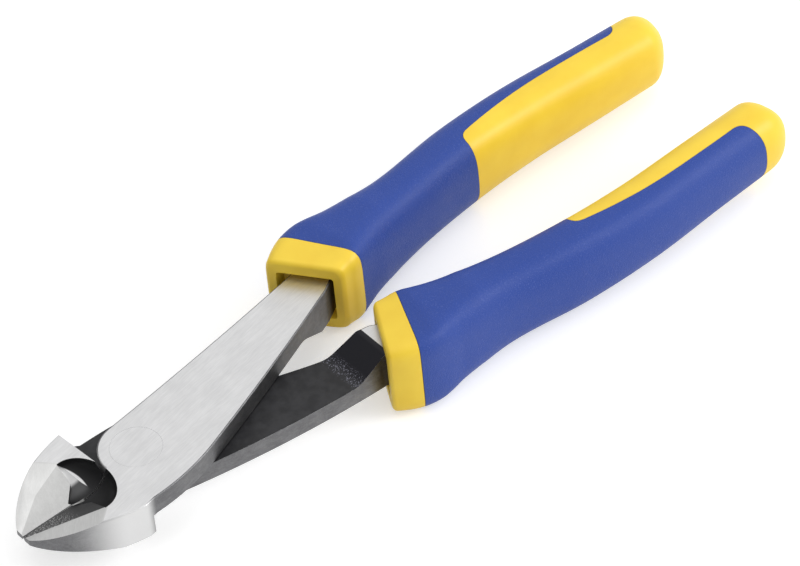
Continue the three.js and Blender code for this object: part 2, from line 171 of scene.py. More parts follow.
class Board:
    """A node tree that finishes are wired on."""

    def __init__(self, tree: bpy.types.NodeTree) -> None:
        """Start with an empty tree.

        Args:
            tree: the tree of a material or of the world.
        """
        self.tree = tree
        tree.nodes.clear()

    def add(self, kind: str, settings: Dict[str, Any], sockets: Dict[Any, Any]) -> bpy.types.Node:
        """Add a node, set it and feed its sockets.

        Args:
            kind: the node's type.
            settings: values of the node's own properties, which are set first.
            sockets: what each input holds: a Signal or socket to link, or a plain value.

        Returns:
            The new node.
        """
        node = self.tree.nodes.new(kind)
        for name, value in settings.items():
            setattr(node, name, value)
        for name, value in sockets.items():
            source = value.socket if isinstance(value, Signal) else value
            if isinstance(source, bpy.types.NodeSocket):
                self.tree.links.new(source, node.inputs[name])
            else:
                node.inputs[name].default_value = source
        return node

    def maths(self, operation: str, first: Value, second: Value) -> Signal:
        """The result of one Math node on two values."""
        node = self.add("ShaderNodeMath", {"operation": operation}, {0: first, 1: second})
        return Signal(self, node.outputs[0])

    def place(self) -> bpy.types.NodeSocket:
        """Object coordinates, in metres in the frame."""
        return self.add("ShaderNodeTexCoord", {}, {}).outputs["Object"]

    def height(self, axis: int) -> Signal:
        """One object coordinate, in millimetres about the pivot; axis 0 is X."""
        parts = self.add("ShaderNodeSeparateXYZ", {}, {0: self.place()})
        return (Signal(self, parts.outputs[axis]) - PIVOT[axis]) / MILLIMETRE

    def beyond(self, normal: Sequence[float], offset: float) -> Signal:
        """Distance past a plane in millimetres, on the side that its unit normal points to."""
        x, y, z = (self.height(axis) * part for axis, part in enumerate(normal))
        return x + y + z - offset

    def noise(self, feature: float, detail: float = 2.0, stretch: Sequence[float] = (1.0, 1.0, 1.0),
              turn: float = 0.0) -> Signal:
        """Noise on object coordinates.

        Args:
            feature: size of the noise's features, in millimetres.
            detail: how many finer layers it has.
            stretch: how much longer the features are along the turned X, Y and Z.
            turn: angle of the turned X axis about Z, in degrees.

        Returns:
            The noise, about 0.5 in the mean.
        """
        turned = self.add("ShaderNodeVectorRotate", {"rotation_type": "Z_AXIS"},
                          {"Vector": self.place(), "Angle": -math.radians(turn)})
        scale = tuple(1.0 / (feature * MILLIMETRE * along) for along in stretch)
        scaled = self.add("ShaderNodeVectorMath", {"operation": "MULTIPLY"},
                          {0: turned.outputs[0], 1: scale})
        sockets = {"Vector": scaled.outputs[0], "Scale": 1.0, "Detail": detail}
        return Signal(self, self.add("ShaderNodeTexNoise", {}, sockets).outputs[0])

    def mix(self, share: Value, first: Any, second: Any) -> bpy.types.NodeSocket:
        """A colour between two.

        Args:
            share: 0 for the first colour, 1 for the second.
            first: a colour or a colour socket.
            second: a colour or a colour socket.

        Returns:
            The socket of the mixed colour.
        """
        paint = [colour if isinstance(colour, bpy.types.NodeSocket) else (*colour, 1.0)
                 for colour in (first, second)]
        node = self.add("ShaderNodeMix", {"data_type": "RGBA"}, {0: share, 6: paint[0], 7: paint[1]})
        return node.outputs[2]

    def bump(self, relief: Signal, depth: float, strength: float) -> bpy.types.NodeSocket:
        """A normal that follows a relief.

        Args:
            relief: the relief's height, from 0 to 1.
            depth: its full depth in millimetres.
            strength: how much of it shows.

        Returns:
            The socket of the bumped normal.
        """
        sockets = {"Height": relief, "Distance": depth * MILLIMETRE, "Strength": strength}
        return self.add("ShaderNodeBump", {}, sockets).outputs[0]

    def surface(self, sockets: Dict[str, Any]) -> None:
        """End the tree in a Principled shader with these inputs."""
        shader = self.add("ShaderNodeBsdfPrincipled", {}, sockets)
        self.add("ShaderNodeOutputMaterial", {}, {"Surface": shader.outputs[0]})


@dataclass(frozen=True)
class Finish:
    """A surface finish; each kind wires its own nodes."""

    name: str

    def wire(self, board: Board) -> None:
        """Wire the finish on an empty board."""
        raise NotImplementedError

    def material(self) -> bpy.types.Material:
        """The finish as a new material."""
        material = bpy.data.materials.new(self.name)
        material.use_nodes = True
        self.wire(Board(material.node_tree))
        return material


@dataclass(frozen=True)
class BrushedSteel(Finish):
    """Bare steel that is ground or brushed one way."""

    light: Colour
    dark: Colour
    roughness: float
    brush_turn: float
    brush_width: float = 0.16
    brush_length: float = 14.0
    brush_depth: float = 0.012
    cloud_size: float = 5.0
    contrast: Tuple[float, float] = (0.35, 0.7)
    # Colour of a brighter stretch along X that is painted reflection.
    painted_reflection: Optional[Colour] = None
    painted_reflection_rise: Tuple[float, float] = (-26.0, -13.0)
    painted_reflection_fall: Tuple[float, float] = (-6.0, -9.0)

    def wire(self, board: Board) -> None:
        """Fine brush lines in relief, broader streaks of colour, cloudy patches, and a brighter stretch of
        painted reflection.
        """
        stretch = (self.brush_length, 1.0, 1.0)
        lines = board.noise(self.brush_width, 3.0, stretch, self.brush_turn)
        streaks = board.noise(self.brush_width * 4.0, 2.0, stretch, self.brush_turn)
        clouds = board.noise(self.cloud_size, 3.0)
        low, high = self.contrast
        shade = streaks.ramp(low, high) * 0.3 + lines.ramp(low, high) * 0.4 + clouds.ramp(low, high) * 0.3
        colour = board.mix(shade, self.dark, self.light)
        # Painted reflection: the base colour brightens along a stretch of X, towards the jaw's heel.
        if self.painted_reflection is not None:
            along = board.height(0)
            share = along.ramp(*self.painted_reflection_rise) * along.ramp(*self.painted_reflection_fall)
            colour = board.mix(share, colour, self.painted_reflection)
        board.surface({
            "Base Color": colour,
            "Metallic": 1.0,
            "Roughness": self.roughness + (lines - 0.5) * 0.25,
            "Normal": board.bump(lines * 0.7 + streaks * 0.3, self.brush_depth, 0.5),
        })


@dataclass(frozen=True)
class ScaleAndPaintedShade(Finish):
    """Dark scale that forging leaves, sandy about one place along the tool, of another tone past it; the
    same wiring paints shade on the upper jaw's bevel.
    """

    dark: Colour
    light: Colour
    riser: Colour
    sand: Colour
    roughness: float
    sand_place: float
    sand_reach: float
    mottle_size: float = 2.4
    pit_size: float = 0.3

    def wire(self, board: Board) -> None:
        """Mottled dark scale that is darkest on the riser, fine pits, and sand at the riser's foot."""
        mottle = board.noise(self.mottle_size, 4.0)
        pits = board.noise(self.pit_size, 2.0)
        along = board.height(0) - self.sand_place
        sandy = along.size().ramp(self.sand_reach, 0.4 * self.sand_reach)
        grains = pits.ramp(0.53, 0.7) * sandy
        scale = board.mix(mottle.ramp(0.3, 0.72), self.dark, self.light)
        scale = board.mix(along.ramp(-self.sand_reach, self.sand_reach), scale, self.riser)
        board.surface({
            "Base Color": board.mix(grains, scale, self.sand),
            "Metallic": 0.35,
            "Roughness": self.roughness + (mottle - 0.5) * 0.2,
            "Normal": board.bump(pits * (0.35 + 0.65 * sandy) + mottle * 0.5, 0.05, 0.45),
        })


@dataclass(frozen=True)
class PocketScaleAndPaintedLight(Finish):
    """Scale in the pocket, greyer towards the cutting edge by painted reflection, with a painted highlight
    along one wall.
    """

    dark: Colour
    painted_reflection_grey: Colour
    painted_highlight_colour: Colour
    roughness: float
    highlight_normal: Tuple[float, float, float] = (-0.736, 0.098, -0.67)
    highlight_offset: float = 9.05
    highlight_middle: float = 4.85
    highlight_half_length: float = 3.1
    highlight_half_width: float = 0.42
    highlight_foot: Tuple[float, float] = (3.8, 4.8)
    highlight_fade: float = 0.7
    mottle_size: float = 1.4

    def wire(self, board: Board) -> None:
        """Mottled scale on both sides of a plane, and a painted highlight line where the plane meets the
        wall.
        """
        mottle = board.noise(self.mottle_size, 3.0)
        past, sideways = board.beyond(self.highlight_normal, self.highlight_offset), board.height(1)
        # Painted highlight: a narrow lens about the plane, with a fainter spread past the plane towards its
        # foot.
        share = (sideways - self.highlight_middle) / self.highlight_half_length
        room = (1.0 - share * share) * self.highlight_half_width - past.size()
        line = room.ramp(0.0, 0.5 * self.highlight_half_width)
        line = line.over(past.ramp(-0.1, 0.2) * sideways.ramp(*self.highlight_foot) * self.highlight_fade)
        # Painted reflection: grey past the plane on the cutting-edge side, black scale elsewhere.
        wall = board.mix(past.ramp(-0.3, 0.5) * sideways.ramp(0.5, 2.5), self.dark, self.painted_reflection_grey)
        board.surface({
            "Base Color": board.mix(line, wall, self.painted_highlight_colour),
            "Metallic": 0.4,
            "Roughness": self.roughness + (mottle - 0.5) * 0.2,
            "Normal": board.bump(mottle, 0.05, 0.35),
        })


@dataclass(frozen=True)
class WornEdge(Finish):
    """An edge where scale is worn through to the bare steel in places."""

    bare: Colour
    scale: Colour
    roughness: float
    break_size: float = 0.9
    pit_size: float = 0.35

    def wire(self, board: Board) -> None:
        """Bright steel broken by remains of scale."""
        breaks = board.noise(self.break_size, 3.0).ramp(0.38, 0.6)
        board.surface({
            "Base Color": board.mix(breaks, self.scale, self.bare),
            "Metallic": 1.0,
            "Roughness": self.roughness + (breaks - 0.5) * -0.15,
            "Normal": board.bump(board.noise(self.pit_size, 2.0), 0.03, 0.4),
        })


@dataclass(frozen=True)
class SatinPlastic(Finish):
    """Hard moulded plastic with a satin skin."""

    colour: Colour
    shade: Colour
    roughness: float
    cloud_size: float = 9.0
    skin_size: float = 0.22

    def wire(self, board: Board) -> None:
        """Faint clouds in the colour and a very fine spark-eroded skin."""
        clouds = board.noise(self.cloud_size, 3.0)
        skin = board.noise(self.skin_size, 2.0)
        board.surface({
            "Base Color": board.mix(clouds.ramp(0.3, 0.75), self.shade, self.colour),
            "Roughness": self.roughness + (skin - 0.5) * 0.2,
            "Normal": board.bump(skin, 0.012, 0.35),
            "IOR": 1.46,
        })


@dataclass(frozen=True)
class GrainedRubber(Finish):
    """Soft rubber with a fine matt grain that glints on its ridges."""

    colour: Colour
    glint: Colour
    roughness: float
    grain: float
    coarseness: float = 2.6
    cloud_size: float = 7.0

    def wire(self, board: Board) -> None:
        """A close grain in relief with paler tips, and slow clouds of wear."""
        grain = board.noise(self.grain, 2.0)
        coarse = board.noise(self.grain * self.coarseness, 2.0)
        clouds = board.noise(self.cloud_size, 3.0)
        tips = grain.ramp(0.56, 0.74) * (0.25 + 0.35 * clouds)
        board.surface({
            "Base Color": board.mix(tips, self.colour, self.glint),
            "Roughness": self.roughness + (clouds - 0.5) * 0.2,
            "Normal": board.bump(grain * 0.65 + coarse * 0.35, 0.18, 0.84),
            "IOR": 1.42,
        })


class Form:
    """A closed solid in the making, in millimetres about the pivot."""

    def __init__(self, shape: bmesh.types.BMesh) -> None:
        """Take over a bmesh and turn its faces outwards.

        Args:
            shape: the solid's closed bmesh.
        """
        self.shape = shape
        bmesh.ops.recalc_face_normals(shape, faces=shape.faces[:])

    @classmethod
    def prism(cls, outline: Sequence[Vector], bottom: float, top: float) -> "Form":
        """An outline in plan, extruded from one height to another.

        Args:
            outline: the outline's corners.
            bottom: height of the underside.
            top: height of the upper side.

        Returns:
            The closed prism.
        """
        shape = bmesh.new()
        floor = shape.faces.new([shape.verts.new((p[0], p[1], bottom)) for p in outline])
        grown = bmesh.ops.extrude_face_region(shape, geom=[floor], use_keep_orig=True)
        raised = [item for item in grown["geom"] if isinstance(item, bmesh.types.BMVert)]
        bmesh.ops.translate(shape, verts=raised, vec=(0.0, 0.0, top - bottom))
        return cls(shape)

    @classmethod
    def block_on(cls, corners: Sequence[Vector], towards: Vector) -> "Form":
        """A large block whose underside is a plane.

        Args:
            corners: three points of the plane.
            towards: direction on the side of the plane that the block fills.

        Returns:
            The block.
        """
        across = (corners[1] - corners[0]).normalized()
        up = (corners[2] - corners[0]).cross(across).normalized()
        if up.dot(towards) < 0.0:
            up.negate()
        turn = Matrix((across, up.cross(across), up)).transposed().to_4x4()
        shape = bmesh.new()
        raised = Matrix.Translation(corners[0]) @ turn @ Matrix.Translation((0.0, 0.0, BEYOND))
        bmesh.ops.create_cube(shape, size=2.0 * BEYOND, matrix=raised)
        return cls(shape)

    def painted(self, skin: Skin) -> "Form":
        """This form with one kind of surface all over."""
        for face in self.shape.faces:
            face.material_index = skin.value
        return self

    def moved(self, matrix: Matrix) -> "Form":
        """This form, moved by a matrix."""
        bmesh.ops.transform(self.shape, matrix=matrix, verts=self.shape.verts[:])
        return self

    def lent(self, slots: Sequence[bpy.types.Material]) -> bpy.types.Object:
        """A scratch object that holds this form; the form is used up.

        Args:
            slots: the materials that the form's surfaces number.

        Returns:
            The scratch object, linked to the scene.
        """
        mesh = bpy.data.meshes.new("scratch")
        self.shape.to_mesh(mesh)
        self.shape.free()
        for material in slots:
            mesh.materials.append(material)
        scratch = bpy.data.objects.new("scratch", mesh)
        bpy.context.scene.collection.objects.link(scratch)
        return scratch

    def joined(self, tool: "Form", join: Join, slots: Sequence[bpy.types.Material] = ()) -> "Form":
        """This form combined with another; both are used up.

        Args:
            tool: the other form.
            join: how the two are combined.
            slots: the materials that the forms' surfaces number.

        Returns:
            The combined form.
        """
        work, cutter = self.lent(slots), tool.lent(slots)
        modifier = work.modifiers.new(join.name.lower(), "BOOLEAN")
        modifier.operation = join.value
        modifier.solver = "EXACT"
        modifier.material_mode = "INDEX"
        modifier.object = cutter
        depsgraph = bpy.context.evaluated_depsgraph_get()
        result = bmesh.new()
        result.from_object(work, depsgraph)
        for scratch in (work, cutter):
            mesh = scratch.data
            bpy.data.objects.remove(scratch)
            bpy.data.meshes.remove(mesh)
        return Form(result)

    def ordered(self) -> "Form":
        """This form made anew with its points and faces sorted by place, so that each run has the same mesh.

        Returns:
            The form.
        """
        shape = bmesh.new()
        corners = sorted(self.shape.verts, key=lambda vert: tuple(vert.co))
        copies = {corner: shape.verts.new(corner.co) for corner in corners}
        shape.verts.index_update()
        loops = []
        for face in self.shape.faces:
            loop = [copies[corner] for corner in face.verts]
            first = loop.index(min(loop, key=lambda vert: vert.index))
            loops.append((loop[first:] + loop[:first], face.material_index))
        for loop, skin in sorted(loops, key=lambda entry: [vert.index for vert in entry[0]]):
            shape.faces.new(loop).material_index = skin
        self.shape.free()
        self.shape = shape
        return self

    def broken_edges(self, width: float, least_angle: float, skin: Skin,
                     merge_share: float = 0.4) -> "Form":
        """This form with its sharp edges broken.

        Args:
            width: width of the broken edge on either face.
            least_angle: an edge is sharp from this angle between its faces, in degrees.
            skin: surface of the edges beside forging scale.
            merge_share: points closer than this share of the width become one first.

        Returns:
            The form.
        """
        shape = self.shape
        bmesh.ops.remove_doubles(shape, verts=shape.verts[:], dist=merge_share * width)
        bmesh.ops.dissolve_limit(shape, angle_limit=math.radians(FLAT_ANGLE), verts=shape.verts[:],
                                 edges=shape.edges[:], delimit={"MATERIAL"})
        sharp = [edge for edge in shape.edges if edge.calc_face_angle(0.0) > math.radians(least_angle)]
        bevelled = bmesh.ops.bevel(shape, geom=sharp, offset=width, affect="EDGES", segments=2, profile=0.5,
                                   material=-1, clamp_overlap=True)
        for face in bevelled["faces"]:
            if face.material_index == Skin.SCALE.value:
                face.material_index = skin.value
        return self

    def piece(self, name: str, half: Half, slots: Sequence[bpy.types.Material],
              smooth: float = 35.0) -> bpy.types.Object:
        """Set the finished form in the frame as a piece of one half, with its large faces shaded even.

        Args:
            name: the piece's name.
            half: the half that it moves with.
            slots: its materials.
            smooth: edges up to this angle between faces are shaded smooth, in degrees.

        Returns:
            The piece.
        """
        shape = self.shape
        bmesh.ops.transform(shape, matrix=Matrix.Scale(MILLIMETRE, 4), verts=shape.verts[:])
        bmesh.ops.translate(shape, verts=shape.verts[:], vec=PIVOT)
        bmesh.ops.recalc_face_normals(shape, faces=shape.faces[:])
        for edge in shape.edges:
            edge.smooth = edge.calc_face_angle(math.pi) < math.radians(smooth)
        for face in shape.faces:
            face.smooth = True
        mesh = bpy.data.meshes.new(name)
        shape.to_mesh(mesh)
        shape.free()
        for material in slots:
            mesh.materials.append(material)
        piece = bpy.data.objects.new(name, mesh)
        bpy.context.scene.collection.objects.link(piece)
        even = piece.modifiers.new("even_faces", "WEIGHTED_NORMAL")
        even.keep_sharp = True
        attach(piece, half.value)
        log.info("%s: %d faces on %s", name, len(mesh.polygons), half.value)
        return piece


class Pen:
    """Draws an outline of straight lines and fine steps along curves."""

    def __init__(self, x: float, y: float, step: float = 0.8) -> None:
        """Start an outline.

        Args:
            x: X of its first corner.
            y: Y of its first corner.
            step: longest step along a curve.
        """
        self.points = [Vector((x, y))]
        self.step = step

    def line(self, *ends: Sequence[float]) -> "Pen":
        """Straight lines to the ends, one after another."""
        self.points.extend(Vector(end[:2]) for end in ends)
        return self

    def curve(self, *pulls: Sequence[float]) -> "Pen":
        """A Bezier curve from the pen.

        Args:
            pulls: the curve's control points, the last of which is its end.

        Returns:
            The pen.
        """
        corners = [self.points[-1], *(Vector(pull[:2]) for pull in pulls)]
        length = sum((b - a).length for a, b in zip(corners, corners[1:]))
        steps = max(3, math.ceil(length / self.step))
        for i in range(1, steps + 1):
            points = corners
            while len(points) > 1:
                points = [a.lerp(b, i / steps) for a, b in zip(points, points[1:])]
            self.points.append(points[0])
        return self

    def bow(self, end: Sequence[float], rise: float) -> "Pen":
        """A curve to an end whose middle is moved along Y."""
        middle = (self.points[-1] + Vector(end[:2])) / 2.0
        return self.curve((middle.x, middle.y + 2.0 * rise), end)

    def arc(self, radius: float, start: float, end: float) -> "Pen":
        """An arc about the pivot between two angles, in radians."""
        steps = max(3, math.ceil(radius * abs(end - start) / self.step))
        for i in range(1, steps + 1):
            angle = start + (end - start) * i / steps
            self.points.append(Vector((radius * math.cos(angle), radius * math.sin(angle))))
        return self


@dataclass(frozen=True)
class Section:
    """Section of a grip, so far behind its front, with its centre so far from the tool's middle."""

    at: float
    y: float
    half_width: float
    half_height: float
    squareness: float

    def sizes(self) -> Tuple[float, float, float, float]:
        """What changes along the grip."""
        return self.y, self.half_width, self.half_height, self.squareness


@dataclass(frozen=True)
class GripLine:
    """Centre line and sections of the upper grip."""

    front: float = 57.0
    length: float = 111.2
    rest_half_height: float = 11.2
    slope_step: float = 0.5
    sections: Tuple[Section, ...] = (
        Section(0.0, 12.75, 8.9, 9.6, 8.5),
        Section(7.0, 15.45, 10.0, 10.7, 6.5),
        Section(15.5, 16.5, 8.6, 11.7, 3.8),
        Section(28.5, 17.7, 7.0, 10.6, 3.0),
        Section(50.5, 20.5, 6.7, 10.3, 3.0),
        Section(68.5, 21.15, 7.0, 9.8, 2.8),
        Section(88.5, 20.25, 7.0, 9.4, 2.6),
        Section(104.5, 19.6, 7.1, 9.0, 2.5),
    )

    def slope_at(self, index: int) -> List[float]:
        """Mean slope of the sizes on both sides of a section."""
        secants = []
        for i in (index, index + 1):
            if 0 < i < len(self.sections):
                before, after = self.sections[i - 1], self.sections[i]
                run = after.at - before.at
                secants.append([(b - a) / run for a, b in zip(before.sizes(), after.sizes())])
        return [sum(parts) / len(secants) for parts in zip(*secants)]

    def section(self, distance: float) -> Section:
        """The section at a distance behind the front, on a smooth curve through the given ones.

        Args:
            distance: how far behind the front, which is held to the given range.

        Returns:
            The section there.
        """
        held = min(max(distance, 0.0), self.sections[-1].at)
        i = max(1, next(k for k, section in enumerate(self.sections) if section.at >= held))
        before, after = self.sections[i - 1], self.sections[i]
        run = after.at - before.at
        t = (held - before.at) / run
        starts, ends = self.slope_at(i - 1), self.slope_at(i)
        sizes = []
        for a, b, m, n in zip(before.sizes(), after.sizes(), starts, ends):
            square = 3.0 * (b - a) - run * (2.0 * m + n)
            cube = 2.0 * (a - b) + run * (m + n)
            sizes.append(a + t * (m * run + t * (square + t * cube)))
        return Section(held, *sizes)

    def slope(self, distance: float) -> float:
        """Slope of the centre line in plan."""
        last = self.sections[-1].at
        before = min(max(distance - self.slope_step, 0.0), last - self.slope_step)
        after = max(min(distance + self.slope_step, last), self.slope_step)
        return (self.section(after).y - self.section(before).y) / (after - before)

    def beside(self, distance: float, offset: float) -> Vector:
        """Point in plan beside the centre line; it runs straight past both ends.

        Args:
            distance: how far behind the grip's front.
            offset: how far outwards from the centre line.

        Returns:
            The point, as X and Y.
        """
        section, slope = self.section(distance), self.slope(distance)
        along = Vector((1.0, slope)).normalized()
        centre = Vector((self.front + distance, section.y + slope * (distance - section.at)))
        return centre + Vector((-along.y, along.x)) * offset


@dataclass(frozen=True)
class Tang:
    """End of a lever inside its grip, which lies a shift inwards off the grip's centre line."""

    width: float = 9.8
    end_width: float = 5.0
    length: float = 60.0
    shift: float = 0.9
    steps: int = 12

    def edge(self, line: GripLine, side: int, clearance: float) -> List[Vector]:
        """Points along one edge, from the grip's front to the tang's end.

        Args:
            line: the grip's centre line.
            side: 1 for the outer edge, -1 for the inner one.
            clearance: how far outside the tang the edge lies.

        Returns:
            The points in plan.
        """
        points = []
        for i in range(self.steps + 1):
            share = i / self.steps
            half = (self.width + (self.end_width - self.width) * math.sqrt(share)) / 2.0 + clearance
            points.append(line.beside(share * (self.length + clearance),
                                      side * half - self.shift * (1.0 - share)))
        return points


@dataclass(frozen=True)
class Forging:
    """What differs between the two forgings."""

    half: Half
    heel_lean: float
    shoulder: float
    outer_bow: float
    inner_bow: float
    rim_swell: Optional[Tuple[float, float, float]] = None


@dataclass
class Lever:
    """A forged lever: ground jaw, lapped boss, arm, riser and tang."""

    forging: Forging
    line: GripLine = field(default_factory=GripLine)
    tang: Tang = field(default_factory=Tang)
    gap: float = 0.3
    thickness: float = THICKNESS
    head_half_width: float = 14.8
    jaw_length: float = 31.3
    boss_radius: float = 8.5
    nose_half_width: float = 2.2
    nose_pull: Tuple[float, float] = (3.0, 5.5)
    heel_pull: Tuple[float, float] = (11.0, 1.7)
    edge_height: float = 0.45
    edge_land: float = 0.4
    rim_fold: Tuple[float, float] = (19.0, 12.4)
    rim_nose: Tuple[float, float, float] = (27.0, 8.0, 2.84)
    nose_top: float = 0.7
    nose_bottom: float = 0.5
    belly_start: float = 14.0
    flush_bevel_width: float = 2.2
    pocket_reach: float = 6.4
    pocket_half_width: float = 8.6
    pocket_depth: float = 5.3
    pocket_shift: float = 0.6
    pocket_lip: float = 0.6
    notch_half_width: float = 3.6
    edge_length: float = 12.0
    pocket_sides: int = 64
    shoulder_start: float = 6.0
    arm_root: Tuple[float, float] = (14.5, 10.3)
    riser_length: float = 7.6
    riser_setback: float = 0.7
    riser_fillet: float = 1.7
    riser_brow: float = 0.7
    riser_step: float = 0.4
    rim_round: float = 0.35
    edge_break: float = 0.25
    sharp_angle: float = 28.0
    rivet_clearance: float = 0.012

    @property
    def half_thickness(self) -> float:
        """Half of the head's thickness."""
        return self.thickness / 2.0

    @property
    def pocket_x(self) -> float:
        """Distance of the pocket's middle in front of the pivot."""
        return self.boss_radius + self.pocket_reach

    def plan(self) -> List[Vector]:
        """Plan of the lever as it lies in the upper half: jaw below the X axis, arm and tang above it.

        Returns:
            The outline's points.
        """
        forging, half_gap = self.forging, self.gap / 2.0
        outer = self.tang.edge(self.line, 1, 0.0)
        inner = self.tang.edge(self.line, -1, 0.0)[::-1]
        root_x, root_y = self.arm_root
        arm_angle = math.atan2(outer[0].y - self.boss_radius, outer[0].x)
        arm_slope = (inner[-1].y + root_y) / (inner[-1].x - root_x)
        jaw_angle = math.pi + math.asin(half_gap / self.boss_radius)
        bend_x = root_x + (root_y - forging.shoulder) / arm_slope
        heel_x = -(self.boss_radius + self.gap)
        pen = Pen(-self.jaw_length, -half_gap)
        pen.line((self.boss_radius * math.cos(jaw_angle), -half_gap))
        pen.arc(self.boss_radius, jaw_angle, math.pi / 2.0 + arm_angle)
        pen.bow(outer[0], forging.outer_bow).line(*outer[1:]).line(*inner)
        pen.bow((root_x, -root_y), forging.inner_bow)
        pen.curve((bend_x, -forging.shoulder), (-self.shoulder_start, -forging.shoulder))
        pen.line((heel_x, -self.head_half_width))
        pen.curve(
            (heel_x - self.heel_pull[0], -self.head_half_width + self.heel_pull[1]),
            (-self.jaw_length + self.nose_pull[0], -self.nose_half_width - self.nose_pull[1]),
            (-self.jaw_length, -self.nose_half_width),
        )
        return pen.points

    def blank(self) -> Form:
        """The lever's plan at full thickness, with its rims rounded.

        Returns:
            The blank as it lies in the upper half.
        """
        form = Form.prism(self.plan(), -self.half_thickness, self.half_thickness).painted(Skin.WALL)
        flat = [face for face in form.shape.faces if abs(face.normal.z) > 0.5]
        for face in flat:
            face.material_index = Skin.FACE.value
        rims = list({edge for face in flat for edge in face.edges})
        bmesh.ops.bevel(form.shape, geom=rims, offset=self.rim_round, affect="EDGES", segments=3,
                        profile=0.5, material=Skin.WALL.value, clamp_overlap=True)
        return form

    def arm_cut(self) -> Form:
        """What is cut from under the arm, from the pivot to the riser, with a fillet at the riser's foot.

        Returns:
            The cutting form.
        """
        half_gap, below = self.gap / 2.0, -self.thickness
        top = self.line.front - self.riser_setback
        foot = top - self.riser_length
        rise = (Vector((top, -self.half_thickness)) - Vector((foot, half_gap))).normalized()
        pen = Pen(0.0, half_gap, self.riser_step).line((foot - self.riser_fillet, half_gap))
        foot_end = Vector((foot, half_gap)) + rise * self.riser_fillet
        pen.curve((foot, half_gap), foot_end)
        brow = Vector((top, -self.half_thickness)) - rise * self.riser_brow
        pen.line(brow).curve((top, -self.half_thickness), (top + self.riser_brow, -self.half_thickness))
        pen.line((top + self.riser_brow, below), (0.0, below))
        form = Form.prism(pen.points, -BEYOND, BEYOND)
        return form.moved(Matrix.Rotation(math.pi / 2.0, 4, "X")).painted(Skin.SCALE)

    def boss_cut(self) -> Form:
        """What is cut from under the boss, as far as the heel of the other lever.

        Returns:
            The cutting form.
        """
        lean = math.radians(self.forging.heel_lean)
        heel = -(self.boss_radius + self.gap) / math.cos(lean)
        plan = [
            (heel, BEYOND),
            (heel, 0.0),
            (heel - BEYOND * math.tan(lean), -BEYOND),
            (self.boss_radius, -BEYOND),
            (self.boss_radius, BEYOND),
        ]
        return Form.prism([Vector(p) for p in plan], -self.thickness, self.gap / 2.0).painted(Skin.SCALE)

    def grinding(self) -> List[Form]:
        """What grinding takes off the jaw: its bevel, belly, flush bevel and rim, which may be rounded out.

        Returns:
            The cutting forms, where the jaw lies in the tool.
        """
        side, half_gap, half = self.forging.half.jaw_side, self.gap / 2.0, self.half_thickness
        up, down = Vector((0.0, 0.0, 1.0)), Vector((0.0, 0.0, -1.0))

        def spot(x: float, y: float, z: float) -> Vector:
            """A point so far in front of the pivot, on the jaw's side."""
            return Vector((-x, side * y, z))

        tip = spot(self.jaw_length, 0.0, self.nose_top)
        rim_corner = spot(self.pocket_x, self.pocket_half_width - side * self.pocket_shift, half)
        rim_fold = spot(*self.rim_fold, half)
        low_edge = self.edge_height - self.edge_land
        # The upper jaw's bevel is painted dark as painted shade; the lower jaw's is plain ground steel.
        bevel_skin = Skin.PAINTED_SHADE if self.forging.half is Half.UPPER else Skin.GROUND
        planes = [
            ((spot(self.pocket_x, 0.0, self.edge_height), spot(self.jaw_length, 0.0, self.edge_height),
              rim_corner), up, bevel_skin),
            ((spot(self.belly_start, 0.0, -half), spot(self.belly_start, BEYOND, -half),
              spot(self.jaw_length, 0.0, -self.nose_bottom)), down, Skin.GROUND),
            ((spot(self.pocket_x, half_gap, low_edge), spot(self.jaw_length, half_gap, low_edge),
              spot(self.pocket_x, self.flush_bevel_width, -half)), down, Skin.GROUND),
        ]
        if self.forging.rim_swell is None:
            planes.append(((rim_corner, rim_fold, tip), up, Skin.RIM))
        else:
            swell = spot(*self.forging.rim_swell)
            planes.append(((rim_corner, rim_fold, swell), up, Skin.RIM))
            planes.append(((tip, swell, spot(*self.rim_nose)), up, Skin.RIM))
        ahead = [(-BEYOND, -BEYOND), (-self.pocket_x, -BEYOND), (-self.pocket_x, BEYOND), (-BEYOND, BEYOND)]
        cuts = []
        for corners, towards, skin in planes:
            limit = Form.prism([Vector(p) for p in ahead], -BEYOND, BEYOND)
            cuts.append(Form.block_on(corners, towards).joined(limit, Join.KEEP).painted(skin))
        return cuts

    def pocket(self) -> Form:
        """The forged hollow behind the cutting edges, shared by both jaws, with a notch to the edges' ends.

        Returns:
            The hollow's form.
        """
        shape = bmesh.new()
        bmesh.ops.create_uvsphere(shape, u_segments=self.pocket_sides, v_segments=self.pocket_sides // 2,
                                  radius=1.0)
        size = Matrix.Diagonal((self.pocket_reach, self.pocket_half_width, self.pocket_depth, 1.0))
        place = Matrix.Translation((-self.pocket_x, -self.pocket_shift, self.half_thickness))
        front = -self.pocket_x - self.pocket_lip
        behind_edges = [
            (0.0, -BEYOND),
            (0.0, BEYOND),
            (front, BEYOND),
            (front, self.notch_half_width),
            (self.edge_length - self.jaw_length, 0.0),
            (front, -self.notch_half_width),
            (front, -BEYOND),
        ]
        limit = Form.prism([Vector(p) for p in behind_edges], -BEYOND, BEYOND)
        return Form(shape).moved(place @ size).joined(limit, Join.KEEP).painted(Skin.POCKET)

    def build(self, rivet: "Rivet", slots: Sequence[bpy.types.Material], slot: str) -> bpy.types.Object:
        """Forge, grind and drill the lever.

        Args:
            rivet: the rivet that goes through it.
            slots: materials in the order of Skin.
            slot: the record's material slot; not used.

        Returns:
            The finished piece.
        """
        half = self.forging.half
        form = self.blank()
        for cut in (self.arm_cut(), self.boss_cut()):
            form = form.joined(cut, Join.CUT, slots)
        form.moved(half.turn)
        for cut in (*self.grinding(), self.pocket()):
            form = form.joined(cut, Join.CUT, slots)
        form.ordered().broken_edges(self.edge_break, self.sharp_angle, Skin.WORN)
        form = form.joined(rivet.form(self.rivet_clearance).painted(Skin.WALL), Join.CUT)
        piece = form.piece(f"{half.word}_forging", half, slots)
        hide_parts(f"{half.word}_lever")
        return piece


